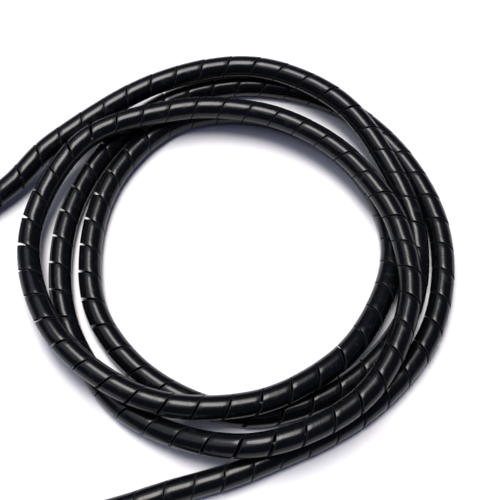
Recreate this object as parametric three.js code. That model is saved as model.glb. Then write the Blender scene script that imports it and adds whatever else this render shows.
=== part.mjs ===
// A two metre length of spiral cable wrap, lying in a loose flat coil on the floor.
//
// The wrap is one polyethylene tube that is slit along a helix, so it is really one long flat
// strip wound into turns that nearly touch. The coil makes three and three quarter laps, and its
// strands pass over and under one another. Both free ends run out straight and are cut square.
//
// Millimetres, Z up, the coil flat on Z = 0. The view from the front looks along +Y.

import * as THREE from "three";

// The tube and the length it is sold in.
const TUBE_DIAMETER = 10;
const TUBE_RADIUS = TUBE_DIAMETER / 2;
const WALL = 1.25;
const STOCK_LENGTH = 2000;

// The strip, measured along the tube's axis, and the slit between two turns on the inside of a bend.
const STRIP_WIDTH = 11.9;
const SLIT_GAP = 0.3;
const TIP_WIDTH = 1.2;
const FACETS_PER_TURN = 10;
const FACET_ANGLE = (2 * Math.PI) / FACETS_PER_TURN;
// The share of a bend that the plastic takes up by stretching. The slit opens for the rest.
const STRETCH_SHARE = 0.4;

// The strand's route over the floor is followed clockwise, as seen from above. A strand either lies
// on the floor, level 0, or across another strand, level 1. Lengths in the points are counted in
// tube diameters, because the strands lie side by side.
const STRAND_GAP = 0.5;
// Place to the right of the coil's centre, place beyond it, level.
const LEAD_IN_POINTS = [
  [-15.6, 0.75, 0],
  [-14, 0.75, 0],
  [-12.4, 1.33, 0.15],
];
// Clock angle in degrees from the far side, radius about the coil's centre, level.
const COIL_POINTS = [
  // Up from the floor, as a springy free end rises, and over the last lap.
  [-76, 11.08, 0.35],
  [-62, 10.1, 0.6],
  [-31, 8.89, 0.95],
  [0, 8.63, 1],
  [30, 7.92, 1],
  [60, 7.28, 0.5],
  // Under the third lap on the right, then under the second at the front.
  [90, 7.42, 0.05],
  [120, 7.7, 0],
  [150, 7.85, 0],
  [180, 8.05, 0],
  [210, 7.75, 0],
  [240, 7.48, 0],
  [270, 7.05, 0],
  [300, 7, 0],
  [330, 7.08, 0],
  [360, 6.62, 0],
  [390, 6.25, 0],
  [420, 6.13, 0],
  [450, 6.3, 0],
  // Up and over the first lap at the front, and over the last lap on the left.
  [480, 6.42, 0.45],
  [510, 7.05, 0.85],
  [540, 7.9, 1],
  [570, 8.8, 1],
  [600, 9.45, 1],
  [630, 9.68, 0.55],
  // Over both inner strands at the far side and over both outer ones on the right.
  [660, 8.85, 1],
  [690, 7.1, 1],
  [720, 6.12, 1],
  [750, 5.7, 1],
  [780, 5.8, 1],
  [810, 6.5, 1],
  [840, 7.65, 1],
  [870, 8.9, 1],
  [900, 9.6, 1],
  // Down to the floor, and round once more below the others.
  [930, 9.4, 0.1],
  [960, 8.85, 0],
  [990, 8.32, 0],
  [1020, 8.1, 0],
  [1050, 8.32, 0],
  [1080, 8.3, 0],
  [1110, 8.28, 0],
  [1140, 8.2, 0],
  [1170, 8.5, 0],
  [1200, 8.87, 0],
  [1230, 9.2, 0],
  [1260, 10.22, 0],
];
const RUN_OUT_POINTS = [
  [-3.3, -11.25],
  [-5, -11.8],
  [-6.6, -12.2],
  [-8.3, -12.25],
];
const SPINE_SPACING = 1;
const TANGENT_REACH = 2;

const UP = new THREE.Vector3(0, 0, 1);

// Places a point of the route, given in tube diameters and a level, in millimetres.
function routePoint(x, y, level = 0) {
  const height = TUBE_RADIUS + level * (TUBE_DIAMETER + STRAND_GAP);
  return new THREE.Vector3(x * TUBE_DIAMETER, y * TUBE_DIAMETER, height);
}

// Places a point of the coil from its clock angle, radius and level.
function coilPoint([degrees, radius, level]) {
  const angle = THREE.MathUtils.degToRad(degrees);
  return routePoint(radius * Math.sin(angle), radius * Math.cos(angle), level);
}

// The tube's axis as evenly spaced points, never lower than a tube that lies on the floor.
function makeSpine() {
  const curve = new THREE.CatmullRomCurve3(
    [
      ...LEAD_IN_POINTS.map((point) => routePoint(...point)),
      ...COIL_POINTS.map(coilPoint),
      ...RUN_OUT_POINTS.map((point) => routePoint(...point)),
    ],
    false,
    "catmullrom",
    0.5,
  );
  const steps = Math.round(curve.getLength() / SPINE_SPACING);
  curve.arcLengthDivisions = 2 * steps;
  curve.updateArcLengths();
  const points = curve.getSpacedPoints(steps);
  for (const point of points) {
    point.z = Math.max(point.z, TUBE_RADIUS);
  }
  const length = curve.getLength();
  return { points, spacing: length / steps, start: (length - STOCK_LENGTH) / 2 };
}

const spine = makeSpine();

// The point of the axis at a distance from the wrap's first end. The middle of the wrap lies on the
// middle of the route, and beyond either end of the route it runs straight on.
function axisPoint(distance) {
  const place = (spine.start + distance) / spine.spacing;
  const index = THREE.MathUtils.clamp(Math.floor(place), 0, spine.points.length - 2);
  return spine.points[index].clone().lerp(spine.points[index + 1], place - index);
}

// The direction of travel along the axis.
function axisTangent(distance) {
  const ahead = axisPoint(distance + TANGENT_REACH);
  return ahead.sub(axisPoint(distance - TANGENT_REACH)).normalize();
}

// How sharply the axis bends over one turn of the strip, as a vector that points away from the
// centre of the bend.
function axisBend(distance) {
  const before = axisTangent(distance - STRIP_WIDTH / 2);
  const after = axisTangent(distance + STRIP_WIDTH / 2);
  return before.sub(after).divideScalar(STRIP_WIDTH);
}

// A unit vector square to the axis: angle 0 points sideways out of the coil, a quarter turn up.
function outward(distance, angle) {
  const tangent = axisTangent(distance);
  const side = UP.clone().cross(tangent).normalize();
  const top = tangent.clone().cross(side);
  return side.multiplyScalar(Math.cos(angle)).addScaledVector(top, Math.sin(angle));
}

// How wide the strip is where the tube's wall is stretched, or squeezed, against its axis.
function stripWidth(stretch) {
  return STRIP_WIDTH * (1 + STRETCH_SHARE * (stretch - 1));
}

// Where along the axis each corner of the facets lies. The turns touch on the inside of a bend, so
// they are further apart along the axis where the coil is tighter.
function makeStations() {
  const first = TIP_WIDTH - STRIP_WIDTH / 2;
  const last = STOCK_LENGTH - first;
  const places = [first];
  while (places.at(-1) < last) {
    const here = places.at(-1);
    const squeeze = 1 - TUBE_RADIUS * axisBend(here).length();
    places.push(here + (stripWidth(squeeze) + SLIT_GAP) / squeeze / FACETS_PER_TURN);
  }
  const share = (last - first) / (places.at(-1) - first);
  return places.map((place) => first + (place - first) * share);
}

// The flat strip is drawn as a long thin box and then wound round the axis as a left-hand helix.
function makeWrap() {
  const stations = makeStations();
  const segments = stations.length - 1;
  const strip = new THREE.BoxGeometry(1, WALL, segments, 1, 1, segments);
  const corners = strip.getAttribute("position");
  for (let i = 0; i < corners.count; i += 1) {
    const index = Math.round(corners.getZ(i) + segments / 2);
    const radius = TUBE_RADIUS - WALL / 2 + corners.getY(i);
    const angle = (-Math.PI + FACET_ANGLE) / 2 - index * FACET_ANGLE;
    const middle = stations[index];
    const stretch = 1 + TUBE_RADIUS * axisBend(middle).dot(outward(middle, angle));
    const across = (-corners.getX(i) * stripWidth(stretch)) / stretch;
    const distance = THREE.MathUtils.clamp(middle + across, 0, STOCK_LENGTH);
    const corner = axisPoint(distance).addScaledVector(outward(distance, angle), radius);
    corners.setXYZ(i, corner.x, corner.y, corner.z);
  }
  strip.computeBoundingBox();
  const centre = strip.boundingBox.getCenter(new THREE.Vector3());
  strip.translate(-centre.x, -centre.y, -strip.boundingBox.min.z);
  strip.computeVertexNormals();
  return strip;
}

const blackPolyethylene = new THREE.MeshStandardMaterial({
  color: "#15171b",
  roughness: 0.36,
  metalness: 0,
});

const wrap = new THREE.Mesh(makeWrap(), blackPolyethylene);
wrap.name = "spiral_wrap";

const group = new THREE.Group();
group.name = "spiral_cable_wrap";
group.add(wrap);

export default group;
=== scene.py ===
"""A two metre length of black spiral cable wrap in a loose flat coil on a pale studio floor.

The wrap is one polyethylene tube slit along a helix. It is drawn as what it is, one flat strip with
rounded edges, wound round the route that the coil takes over the floor. Sizes are in metres, Z up,
and the camera looks along +Y from above.
"""

import logging
import math
from dataclasses import dataclass, field
from enum import Enum
from typing import ClassVar

import bpy
import numpy as np
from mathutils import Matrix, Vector


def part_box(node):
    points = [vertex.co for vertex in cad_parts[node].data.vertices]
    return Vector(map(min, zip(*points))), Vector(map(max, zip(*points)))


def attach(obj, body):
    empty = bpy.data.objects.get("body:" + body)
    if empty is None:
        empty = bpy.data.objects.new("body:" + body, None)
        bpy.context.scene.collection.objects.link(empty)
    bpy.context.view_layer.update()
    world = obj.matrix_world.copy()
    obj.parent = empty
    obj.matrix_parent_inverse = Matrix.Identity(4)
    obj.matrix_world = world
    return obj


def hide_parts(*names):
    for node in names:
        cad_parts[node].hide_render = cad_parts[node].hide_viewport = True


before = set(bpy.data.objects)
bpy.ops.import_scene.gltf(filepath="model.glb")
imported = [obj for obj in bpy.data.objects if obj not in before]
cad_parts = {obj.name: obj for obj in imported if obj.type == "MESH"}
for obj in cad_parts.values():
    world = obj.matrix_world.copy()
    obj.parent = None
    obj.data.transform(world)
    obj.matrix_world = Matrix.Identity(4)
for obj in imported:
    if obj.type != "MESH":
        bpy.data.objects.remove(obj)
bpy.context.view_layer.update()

LOG = logging.getLogger("spiral_cable_wrap")

MM = 0.001
FULL_TURN = 2 * math.pi


class Lay(Enum):
    """How a flexible length lies."""

    LOOSE = "loose"
    COILED = "coiled"


class Stiffness(Enum):
    """How readily a flexible length bends."""

    LIMP = "limp"
    MEDIUM = "medium"
    STIFF = "stiff"


class FarEnd(Enum):
    """What is on the far end of a flexible length."""

    BARE = "bare"


def linear(colour: str) -> tuple[float, float, float, float]:
    """Turns a hex sRGB colour into linear red, green, blue and alpha.

    Args:
        colour: The colour as "#rrggbb".

    Returns:
        The four linear channels, with alpha 1.
    """
    channels = (int(colour[i : i + 2], 16) / 255 for i in (1, 3, 5))
    red, green, blue = (
        c / 12.92 if c <= 0.04045 else ((c + 0.055) / 1.055) ** 2.4 for c in channels
    )
    return red, green, blue, 1.0


def add_node(
    tree: bpy.types.NodeTree,
    kind: str,
    inputs: dict[str | int, object] | None = None,
    **settings: object,
) -> bpy.types.Node:
    """Adds a node with its settings, values and links.

    Args:
        tree: The node tree that takes the node.
        kind: Blender's name for the kind of node.
        inputs: For each input, a value, or the output socket that feeds it.
        settings: The node's own settings.

    Returns:
        The new node.
    """
    node = tree.nodes.new(kind)
    for name, value in settings.items():
        setattr(node, name, value)
    for name, value in (inputs or {}).items():
        if isinstance(value, bpy.types.NodeSocket):
            tree.links.new(value, node.inputs[name])
        else:
            node.inputs[name].default_value = value
    return node


def new_material(name: str) -> tuple[bpy.types.Material, bpy.types.NodeTree]:
    """Makes an empty node material.

    Args:
        name: The material's name.

    Returns:
        The material and its node tree.
    """
    material = bpy.data.materials.new(name)
    material.use_nodes = True
    material.node_tree.nodes.clear()
    return material, material.node_tree


@dataclass(frozen=True)
class BlackPolyethylene:
    """Low density polyethylene, extruded as a tube, carbon black, with its slit cut by a knife.

    Extrusion leaves a semi-gloss skin with faint lines along the strip, a slow mottle in the gloss
    and a few rubbed places. The knife leaves the edges of the strip duller than the skin.
    """

    deep: str = "#060709"
    worn: str = "#131519"
    ior: float = 1.51
    # The finely drawn skin mirrors less than a polished one would.
    specular_level: float = 0.25
    gloss: float = 0.2
    dull: float = 0.3
    edge_roughness: float = 0.75
    # The real lines are about 0.2 mm apart. They are drawn at 0.7 mm so that they show.
    line_spacing: float = 0.7 * MM
    line_length: float = 45 * MM
    line_depth: float = 0.012 * MM
    mottle_size: float = 9 * MM
    # Where the mottle's noise starts and ends to change the gloss.
    mottle_range: tuple[float, float] = (0.3, 0.7)
    rub_size: float = 3.5 * MM
    # Only the highest parts of the noise are rubbed.
    rub_range: tuple[float, float] = (0.58, 0.72)
    cut_band: float = 0.3 * MM

    def material(self, strip_width: float) -> bpy.types.Material:
        """Makes the material.

        Args:
            strip_width: The width of the strip whose edges are cut.

        Returns:
            The material, for a mesh with the strip's own coordinates in metres.
        """
        material, tree = new_material("black polyethylene, extruded")
        place = add_node(tree, "ShaderNodeUVMap", uv_map=SpiralWrap.UV_NAME)
        parts = add_node(tree, "ShaderNodeSeparateXYZ", {0: place.outputs["UV"]})
        solid = add_node(tree, "ShaderNodeTexCoord")

        stretched = add_node(
            tree,
            "ShaderNodeMapping",
            {
                "Vector": place.outputs["UV"],
                "Scale": (1 / self.line_length, 1 / self.line_spacing, 1),
            },
        )
        lines = add_node(
            tree,
            "ShaderNodeTexNoise",
            {"Vector": stretched.outputs[0], "Scale": 1.0, "Detail": 2.0},
            noise_dimensions="2D",
        )
        mottle = add_node(
            tree,
            "ShaderNodeTexNoise",
            {"Vector": solid.outputs["Object"], "Scale": 1 / self.mottle_size, "Detail": 3.0},
        )
        rub_noise = add_node(
            tree,
            "ShaderNodeTexNoise",
            {"Vector": solid.outputs["Object"], "Scale": 1 / self.rub_size, "Detail": 5.0},
        )
        rubbed = add_node(
            tree,
            "ShaderNodeMapRange",
            {
                0: rub_noise.outputs[0],
                1: self.rub_range[0],
                2: self.rub_range[1],
                3: 0.0,
                4: 1.0,
            },
        )

        from_middle = add_node(
            tree, "ShaderNodeMath", {0: parts.outputs["Y"]}, operation="ABSOLUTE"
        )
        cut = add_node(
            tree,
            "ShaderNodeMapRange",
            {
                0: from_middle.outputs[0],
                1: strip_width / 2 - self.cut_band,
                2: strip_width / 2 - self.cut_band / 3,
                3: 0.0,
                4: 1.0,
            },
        )

        skin = add_node(
            tree,
            "ShaderNodeMapRange",
            {
                0: mottle.outputs[0],
                1: self.mottle_range[0],
                2: self.mottle_range[1],
                3: self.gloss,
                4: (self.gloss + self.dull) / 2,
            },
        )
        handled = add_node(
            tree,
            "ShaderNodeMix",
            {0: rubbed.outputs[0], 2: skin.outputs[0], 3: self.dull},
        )
        roughness = add_node(
            tree,
            "ShaderNodeMix",
            {0: cut.outputs[0], 2: handled.outputs[0], 3: self.edge_roughness},
        )
        wear = add_node(
            tree,
            "ShaderNodeMath",
            {0: rubbed.outputs[0], 1: cut.outputs[0]},
            operation="MAXIMUM",
        )
        colour = add_node(
            tree,
            "ShaderNodeMix",
            {0: wear.outputs[0], 6: linear(self.deep), 7: linear(self.worn)},
            data_type="RGBA",
        )
        bump = add_node(
            tree,
            "ShaderNodeBump",
            {"Height": lines.outputs[0], "Distance": self.line_depth, "Strength": 1.0},
        )
        shader = add_node(
            tree,
            "ShaderNodeBsdfPrincipled",
            {
                "Base Color": colour.outputs[2],
                "Roughness": roughness.outputs[0],
                "IOR": self.ior,
                "Specular IOR Level": self.specular_level,
                "Normal": bump.outputs[0],
            },
        )
        add_node(tree, "ShaderNodeOutputMaterial", {"Surface": shader.outputs[0]})
        return material


@dataclass(frozen=True)
class PaleFloorCoating:
    """Matt white coated board, the plain sweep of a product studio."""

    colour: str = "#f3f3f6"
    shade: str = "#eeeef2"
    roughness: float = 0.75
    ior: float = 1.5
    cloud_size: float = 0.4

    def material(self) -> bpy.types.Material:
        """Makes the material, nearly even, with a very slow change of shade.

        Returns:
            The material, for a mesh whose own coordinates are in metres.
        """
        material, tree = new_material("white board, matt coated")
        solid = add_node(tree, "ShaderNodeTexCoord")
        cloud = add_node(
            tree,
            "ShaderNodeTexNoise",
            {"Vector": solid.outputs["Object"], "Scale": 1 / self.cloud_size},
        )
        colour = add_node(
            tree,
            "ShaderNodeMix",
            {0: cloud.outputs[0], 6: linear(self.colour), 7: linear(self.shade)},
            data_type="RGBA",
        )
        shader = add_node(
            tree,
            "ShaderNodeBsdfPrincipled",
            {
                "Base Color": colour.outputs[2],
                "Roughness": self.roughness,
                "IOR": self.ior,
            },
        )
        add_node(tree, "ShaderNodeOutputMaterial", {"Surface": shader.outputs[0]})
        return material


@dataclass
class CoilRoute:
    """The line that the tube's axis follows over the floor, clockwise as seen from above.

    A strand lies on the floor, level 0, or across another strand, level 1. Lengths in the points
    are counted in tube diameters, because the strands lie side by side.
    """

    tube_diameter: float = 10 * MM
    strand_gap: float = 0.5 * MM
    stock_length: float = 2000 * MM
    spine_spacing: float = 1 * MM
    tangent_reach: float = 2 * MM
    # Place to the right of the coil's centre, place beyond it, level.
    lead_in: tuple[tuple[float, float, float], ...] = (
        (-15.6, 0.75, 0),
        (-14, 0.75, 0),
        (-12.4, 1.33, 0.15),
    )
    # Clock angle in degrees from the far side, radius about the coil's centre, level.
    coil: tuple[tuple[float, float, float], ...] = (
        # Up from the floor, as a springy free end rises, and over the last lap.
        (-76, 11.08, 0.35),
        (-62, 10.1, 0.6),
        (-31, 8.89, 0.95),
        (0, 8.63, 1),
        (30, 7.92, 1),
        (60, 7.28, 0.5),
        # Under the third lap on the right, then under the second at the front.
        (90, 7.42, 0.05),
        (120, 7.7, 0),
        (150, 7.85, 0),
        (180, 8.05, 0),
        (210, 7.75, 0),
        (240, 7.48, 0),
        (270, 7.05, 0),
        (300, 7, 0),
        (330, 7.08, 0),
        (360, 6.62, 0),
        (390, 6.25, 0),
        (420, 6.13, 0),
        (450, 6.3, 0),
        # Up and over the first lap at the front, and over the last lap on the left.
        (480, 6.42, 0.45),
        (510, 7.05, 0.85),
        (540, 7.9, 1),
        (570, 8.8, 1),
        (600, 9.45, 1),
        (630, 9.68, 0.55),
        # Over both inner strands at the far side and over both outer ones on the right.
        (660, 8.85, 1),
        (690, 7.1, 1),
        (720, 6.12, 1),
        (750, 5.7, 1),
        (780, 5.8, 1),
        (810, 6.5, 1),
        (840, 7.65, 1),
        (870, 8.9, 1),
        (900, 9.6, 1),
        # Down to the floor, and round once more below the others.
        (930, 9.4, 0.1),
        (960, 8.85, 0),
        (990, 8.32, 0),
        (1020, 8.1, 0),
        (1050, 8.32, 0),
        (1080, 8.3, 0),
        (1110, 8.28, 0),
        (1140, 8.2, 0),
        (1170, 8.5, 0),
        (1200, 8.87, 0),
        (1230, 9.2, 0),
        (1260, 10.22, 0),
    )
    run_out: tuple[tuple[float, float], ...] = (
        (-3.3, -11.25),
        (-5, -11.8),
        (-6.6, -12.2),
        (-8.3, -12.25),
    )
    points: np.ndarray = field(init=False)
    spacing: float = field(init=False)
    start: float = field(init=False)

    def __post_init__(self) -> None:
        """Draws the route as evenly spaced points."""
        corners = self._corner_points()
        line = self._smooth_line(corners)
        runs = np.linalg.norm(np.diff(line, axis=0), axis=1)
        travelled = np.concatenate([[0.0], np.cumsum(runs)])
        steps = round(travelled[-1] / self.spine_spacing)
        places = np.linspace(0, travelled[-1], steps + 1)
        self.points = np.stack([np.interp(places, travelled, line[:, k]) for k in range(3)], 1)
        self.points[:, 2] = np.maximum(self.points[:, 2], self.tube_diameter / 2)
        self.spacing = travelled[-1] / steps
        self.start = (travelled[-1] - self.stock_length) / 2

    def _corner_points(self) -> np.ndarray:
        """Places the route's chosen points.

        Returns:
            The points in metres, one row each.
        """
        rows = list(self.lead_in)
        for degrees, radius, level in self.coil:
            angle = math.radians(degrees)
            rows.append((radius * math.sin(angle), radius * math.cos(angle), level))
        rows += [(x, y, 0.0) for x, y in self.run_out]
        table = np.array(rows, float)
        table[:, :2] *= self.tube_diameter
        rise = self.tube_diameter + self.strand_gap
        table[:, 2] = self.tube_diameter / 2 + rise * table[:, 2]
        return table

    @staticmethod
    def _smooth_line(corners: np.ndarray, steps: int = 60) -> np.ndarray:
        """Draws a Catmull-Rom line through points.

        Args:
            corners: The points, one row each.
            steps: How many short runs join two points.

        Returns:
            The line's points, one row each.
        """
        first = 2 * corners[0] - corners[1]
        last = 2 * corners[-1] - corners[-2]
        path = np.vstack([first, corners, last])
        share = np.linspace(0, 1, steps, endpoint=False)[:, None]
        runs = []
        for before, start, end, after in zip(path, path[1:], path[2:], path[3:]):
            leave = (end - before) / 2
            arrive = (after - start) / 2
            square = 3 * (end - start) - 2 * leave - arrive
            cube = 2 * (start - end) + leave + arrive
            runs.append(start + leave * share + square * share**2 + cube * share**3)
        return np.vstack([*runs, corners[-1:]])

    def at(self, distance: np.ndarray) -> np.ndarray:
        """Gives the axis points at distances from the wrap's first end.

        The middle of the wrap lies on the middle of the route. Beyond either end of the route the
        axis runs straight on.

        Args:
            distance: Distances from the first end.

        Returns:
            One point for each distance.
        """
        place = (self.start + np.asarray(distance, float)) / self.spacing
        index = np.clip(np.floor(place).astype(int), 0, len(self.points) - 2)
        part = (place - index)[..., None]
        return self.points[index] + (self.points[index + 1] - self.points[index]) * part

    def heading(self, distance: np.ndarray) -> np.ndarray:
        """Gives the directions of travel along the axis.

        Args:
            distance: Distances from the first end.

        Returns:
            One unit vector for each distance.
        """
        ahead = self.at(distance + self.tangent_reach)
        run = ahead - self.at(distance - self.tangent_reach)
        return run / np.linalg.norm(run, axis=-1, keepdims=True)

    def bend(self, distance: np.ndarray, reach: float) -> np.ndarray:
        """Gives how sharply the axis bends, as vectors that point out of the bend.

        Args:
            distance: Distances from the first end.
            reach: The length over which the bend is measured.

        Returns:
            One vector for each distance, in radians a metre.
        """
        before = self.heading(distance - reach / 2)
        return (before - self.heading(distance + reach / 2)) / reach

    def outward(self, distance: np.ndarray, angle: np.ndarray) -> np.ndarray:
        """Gives unit vectors square to the axis.

        Args:
            distance: Distances from the first end.
            angle: Angles round the axis: 0 points sideways out of the coil, a quarter turn up.

        Returns:
            One vector for each distance.
        """
        travel = self.heading(distance)
        side = np.cross((0.0, 0.0, 1.0), travel)
        side /= np.linalg.norm(side, axis=-1, keepdims=True)
        top = np.cross(travel, side)
        turn = np.asarray(angle)[..., None]
        return side * np.cos(turn) + top * np.sin(turn)


@dataclass
class SpiralWrap:
    """The slit tube: one strip of plastic with rounded edges, wound as a left-hand helix.

    Its turns nearly touch on the inside of a bend and stand apart on the outside, so the coil's
    outer side shows wedge-shaped notches.
    """

    UV_NAME: ClassVar[str] = "strip"
    # For what varies along the winding: swings in a turn, and how far each is shifted.
    SWINGS: ClassVar[tuple[tuple[float, float], ...]] = (
        (0.137, 2.1),
        (0.381, 4.7),
        (0.617, 1.3),
    )
    RISE_PHASE: ClassVar[float] = 1.0
    WANDER_PHASE: ClassVar[float] = 2.0

    route: CoilRoute = field(default_factory=CoilRoute)
    finish: BlackPolyethylene = field(default_factory=BlackPolyethylene)
    wall: float = 1.25 * MM
    strip_width: float = 11.9 * MM
    slit_gap: float = 0.3 * MM
    tip_width: float = 1.2 * MM
    # The share of a bend that the plastic takes up by stretching. The slit opens for the rest.
    stretch_share: float = 0.4
    outer_edge_radius: float = 0.1 * MM
    inner_edge_radius: float = 0.12 * MM
    steps_per_turn: int = 32
    facets_per_turn: int = 10
    # A turn never lies quite true to the next: its leading edge stands a little proud, and it
    # wanders sideways by about a tenth of a millimetre.
    lead_rise: float = 0.05 * MM
    wander: float = 0.09 * MM
    # How much of the rise comes and goes from turn to turn.
    rise_change: float = 0.6
    # Points on the strip's outside, between its edges, as shares of its width.
    crown_places: tuple[float, ...] = (-0.3, 0.0, 0.3)
    outer_edge_points: int = 4
    inner_edge_points: int = 3
    axis_points: int = 401

    @property
    def tube_radius(self) -> float:
        """The tube's outside radius."""
        return self.route.tube_diameter / 2

    def _width(self, stretch: np.ndarray) -> np.ndarray:
        """Gives the strip's width where the wall is stretched, or squeezed, against the axis."""
        return self.strip_width * (1 + self.stretch_share * (stretch - 1))

    def _turn_places(self) -> np.ndarray:
        """Steps along the winding, with equal steps of turn.

        Returns:
            Where along the axis the strip's middle is at each step.
        """
        first = self.tip_width - self.strip_width / 2
        last = self.route.stock_length - first
        fine = np.arange(first, last, self.route.spacing / 2)
        squeeze = 1 - self.tube_radius * np.linalg.norm(
            self.route.bend(fine, self.strip_width), axis=1
        )
        rate = squeeze / (self._width(squeeze) + self.slit_gap)
        turns = np.concatenate([[0.0], np.cumsum((rate[1:] + rate[:-1]) / 2 * np.diff(fine))])
        wound = math.ceil(turns[-1] * self.facets_per_turn) / self.facets_per_turn
        steps = round(wound * self.steps_per_turn)
        return np.interp(np.linspace(0, turns[-1], steps + 1), turns, fine)

    def _section(self) -> np.ndarray:
        """Draws the strip's cross-section.

        Returns:
            Points round the section: the share of the width from the middle, and the depth
            inwards from the tube's outside.
        """
        half = 0.5
        rounded = []
        corners = (
            (half, 0.0, self.outer_edge_radius, self.outer_edge_points, 0.0),
            (half, self.wall, self.inner_edge_radius, self.inner_edge_points, 90.0),
            (-half, self.wall, self.inner_edge_radius, self.inner_edge_points, 180.0),
            (-half, 0.0, self.outer_edge_radius, self.outer_edge_points, 270.0),
        )
        for across, depth, radius, count, start in corners:
            reach = radius / self.strip_width
            middle_across = across - math.copysign(reach, across)
            middle_depth = depth + radius if depth == 0 else depth - radius
            for step in range(count):
                angle = math.radians(start + 90 * step / (count - 1))
                rounded.append(
                    (
                        middle_across + reach * math.sin(angle),
                        middle_depth - radius * math.cos(angle),
                    )
                )
        crown = [(across, 0.0) for across in self.crown_places]
        return np.array(rounded + crown)

    def _shake(self, turns: np.ndarray, phase: float) -> np.ndarray:
        """Gives a slow irregular swing between about -1 and 1 along the winding.

        Args:
            turns: How many turns have been wound at each place.
            phase: A number that is different for each thing that swings.

        Returns:
            The swing at each place.
        """
        swings = [
            np.sin(FULL_TURN * rate * turns + shift * phase)
            for rate, shift in self.SWINGS
        ]
        return sum(swings) / len(swings)

    def mesh(self) -> bpy.types.Mesh:
        """Winds the strip round the route.

        Returns:
            The closed mesh, with the strip's own coordinates in metres as its UV map.
        """
        middle = self._turn_places()
        count = len(middle)
        turns = np.arange(count) / self.steps_per_turn
        first_angle = (math.pi / self.facets_per_turn) - math.pi / 2
        angle = first_angle - FULL_TURN * turns
        bend = self.route.bend(middle, self.strip_width)
        stretch = 1 + self.tube_radius * (bend * self.route.outward(middle, angle)).sum(1)
        half = self._width(stretch) / 2 / stretch
        low = np.clip(middle - half, 0, self.route.stock_length)
        high = np.clip(middle + half, 0, self.route.stock_length)

        section = self._section()
        ring = len(section)
        share = section[:, 0]
        distance = low[:, None] + (share + 0.5) * (high - low)[:, None]
        angles = np.repeat(angle[:, None], ring, axis=1)
        change = 1 + self.rise_change * self._shake(turns, self.RISE_PHASE)
        rise = self.lead_rise * share * change[:, None]
        radius = self.tube_radius - section[:, 1] + rise
        corner = self.route.at(distance)
        corner = corner + self.route.outward(distance, angles) * radius[..., None]
        sideways = self.route.outward(distance, np.zeros_like(distance))
        swing = self.wander * self._shake(turns, self.WANDER_PHASE)
        corner += sideways * swing[:, None, None]
        corner += self.row_shift()
        corner[..., 2] = np.maximum(corner[..., 2], 0.0)

        return self._strip_mesh(corner.reshape(-1, 3), count, ring, turns)

    def row_shift(self) -> np.ndarray:
        """Measures the move from the route's own origin to the origin below the coil's middle.

        Returns:
            The move along X, Y and Z.
        """
        _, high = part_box("spiral_wrap")
        line = self.axis_line()
        flat = self.tube_radius * math.cos(math.pi / self.facets_per_turn)
        shift = np.array(high) - (line.max(0) + self.tube_radius)
        shift[2] = flat - self.tube_radius
        return shift

    def axis_line(self) -> np.ndarray:
        """Gives the tube's axis from end to end, one row every 5 mm, in the route's place."""
        return self.route.at(np.linspace(0, self.route.stock_length, self.axis_points))

    def _strip_mesh(
        self, corners: np.ndarray, count: int, ring: int, turns: np.ndarray
    ) -> bpy.types.Mesh:
        """Skins rings of points with four-sided faces and closes both ends.

        Args:
            corners: The points, ring after ring.
            count: How many rings there are.
            ring: How many points a ring has.
            turns: How many turns have been wound at each ring.

        Returns:
            The mesh.
        """
        index = np.arange(count * ring).reshape(count, ring)
        here, ahead = index[:-1], index[1:]
        faces = np.stack(
            [here, ahead, np.roll(ahead, -1, axis=1), np.roll(here, -1, axis=1)], axis=-1
        ).reshape(-1, 4)
        ends = [index[0].tolist(), index[-1][::-1].tolist()]
        mesh = bpy.data.meshes.new("spiral_wrap_strip")
        mesh.from_pydata(corners.tolist(), [], faces.tolist() + ends)

        strip_run = math.hypot(FULL_TURN * self.tube_radius, self.strip_width)
        along = np.repeat(turns * strip_run, ring)
        across = np.tile(self._section()[:, 0] * self.strip_width, count)
        place = np.stack([along, across], axis=1)
        layer = mesh.uv_layers.new(name=self.UV_NAME)
        loop_corner = np.empty(len(mesh.loops), dtype=np.int32)
        mesh.loops.foreach_get("vertex_index", loop_corner)
        layer.data.foreach_set("uv", place[loop_corner].astype(np.float32).ravel())
        mesh.shade_smooth()
        mesh.validate()
        return mesh

    def build(self) -> bpy.types.Object:
        """Makes the wrap, dresses it and hides the plain part in its place.

        Returns:
            The finished piece.
        """
        piece = bpy.data.objects.new("spiral_wrap_dressed", self.mesh())
        bpy.context.scene.collection.objects.link(piece)
        piece.data.materials.append(self.finish.material(self.strip_width))
        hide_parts("spiral_wrap")
        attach(piece, "root")
        line = self.axis_line() + self.row_shift()
        return piece


@dataclass(frozen=True)
class SoftBox:
    """One rectangular studio light that faces the coil."""

    name: str
    azimuth: float
    elevation: float
    distance: float
    width: float
    height: float
    power: float
    colour: str

    def build(self, aim: Vector) -> bpy.types.Object:
        """Hangs the light.

        Args:
            aim: The point that it faces.

        Returns:
            The light's object.
        """
        light = bpy.data.lights.new(self.name, "AREA")
        light.shape = "RECTANGLE"
        light.size = self.width
        light.size_y = self.height
        light.energy = self.power
        light.color = linear(self.colour)[:3]
        around = math.radians(self.azimuth)
        above = math.radians(self.elevation)
        towards = Vector(
            (
                math.sin(around) * math.cos(above),
                math.cos(around) * math.cos(above),
                math.sin(above),
            )
        )
        lamp = bpy.data.objects.new(self.name, light)
        lamp.location = aim + towards * self.distance
        lamp.rotation_euler = towards.to_track_quat("Z", "Y").to_euler()
        bpy.context.scene.collection.objects.link(lamp)
        return lamp


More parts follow.
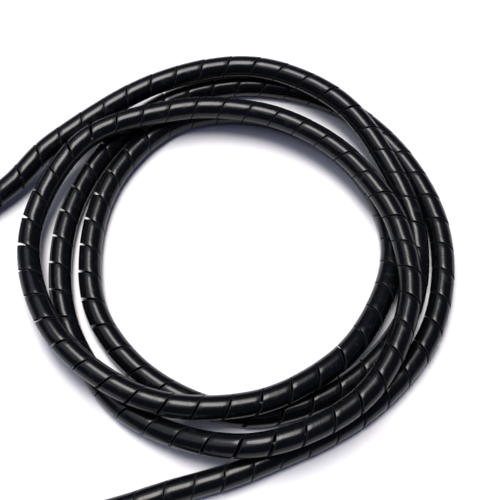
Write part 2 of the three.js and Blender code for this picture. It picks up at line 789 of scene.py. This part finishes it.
@dataclass
class Studio:
    """The pale floor, the soft light and the camera at the photograph's angle."""

    camera_elevation: float = 64.0
    camera_distance: float = 438 * MM
    lens_mm: float = 70.3
    sensor_mm: float = 36.0
    # The middle of the picture, counted from the coil's centre.
    aim_on_floor: tuple[float, float] = (0.0, -3 * MM)
    floor_side: float = 6.0
    sky_colour: str = "#a3ade8"
    sky_strength: float = 0.18
    coating: PaleFloorCoating = field(default_factory=PaleFloorCoating)
    lights: tuple[SoftBox, ...] = (
        SoftBox("overhead_window", -22, 79, 2.0, 0.62, 1.15, 43, "#fffaf4"),
        SoftBox("lit_ceiling", -60, 68, 2.2, 2.6, 2.2, 22, "#f0f3ff"),
    )

    def build(self, shift: np.ndarray) -> None:
        """Sets up the floor, the lights, the sky and the camera.

        Args:
            shift: The move from the route's own origin to the row's origin.
        """
        aim = Vector((self.aim_on_floor[0] + shift[0], self.aim_on_floor[1] + shift[1], 0.0))
        self._floor()
        self._sky()
        for light in self.lights:
            light.build(aim)
        self._camera(aim)
        bpy.context.scene.view_settings.view_transform = "Standard"

    def _floor(self) -> None:
        """Lays the floor, level with the lowest point of the coil."""
        half = self.floor_side / 2
        corners = [(-half, -half, 0), (half, -half, 0), (half, half, 0), (-half, half, 0)]
        mesh = bpy.data.meshes.new("studio_floor")
        mesh.from_pydata(corners, [], [(0, 1, 2, 3)])
        floor = bpy.data.objects.new("studio_floor", mesh)
        floor.data.materials.append(self.coating.material())
        bpy.context.scene.collection.objects.link(floor)

    def _sky(self) -> None:
        """Fills the room with an even cool light."""
        world = bpy.data.worlds.new("studio_room")
        world.use_nodes = True
        world.node_tree.nodes.clear()
        room = add_node(
            world.node_tree,
            "ShaderNodeBackground",
            {"Color": linear(self.sky_colour), "Strength": self.sky_strength},
        )
        add_node(world.node_tree, "ShaderNodeOutputWorld", {"Surface": room.outputs[0]})
        bpy.context.scene.world = world

    def _camera(self, aim: Vector) -> None:
        """Stands the camera in front of and above the coil.

        Args:
            aim: The point in the middle of the picture.
        """
        lens = bpy.data.cameras.new("photograph_camera")
        lens.lens = self.lens_mm
        lens.sensor_width = self.sensor_mm
        above = math.radians(self.camera_elevation)
        towards = Vector((0.0, -math.cos(above), math.sin(above)))
        camera = bpy.data.objects.new("photograph_camera", lens)
        camera.location = aim + towards * self.camera_distance
        camera.rotation_euler = towards.to_track_quat("Z", "Y").to_euler()
        bpy.context.scene.collection.objects.link(camera)
        bpy.context.scene.camera = camera


def main() -> None:
    """Builds the wrap and the studio round it, and reports each piece."""
    logging.basicConfig(level=logging.INFO, format="%(message)s")
    wrap = SpiralWrap()
    piece = wrap.build()
    LOG.info("%s: %d faces", piece.name, len(piece.data.polygons))
    studio = Studio()
    studio.build(wrap.row_shift())
    LOG.info("studio: %d lights", len(studio.lights))


if __name__ == "__main__":
    main()
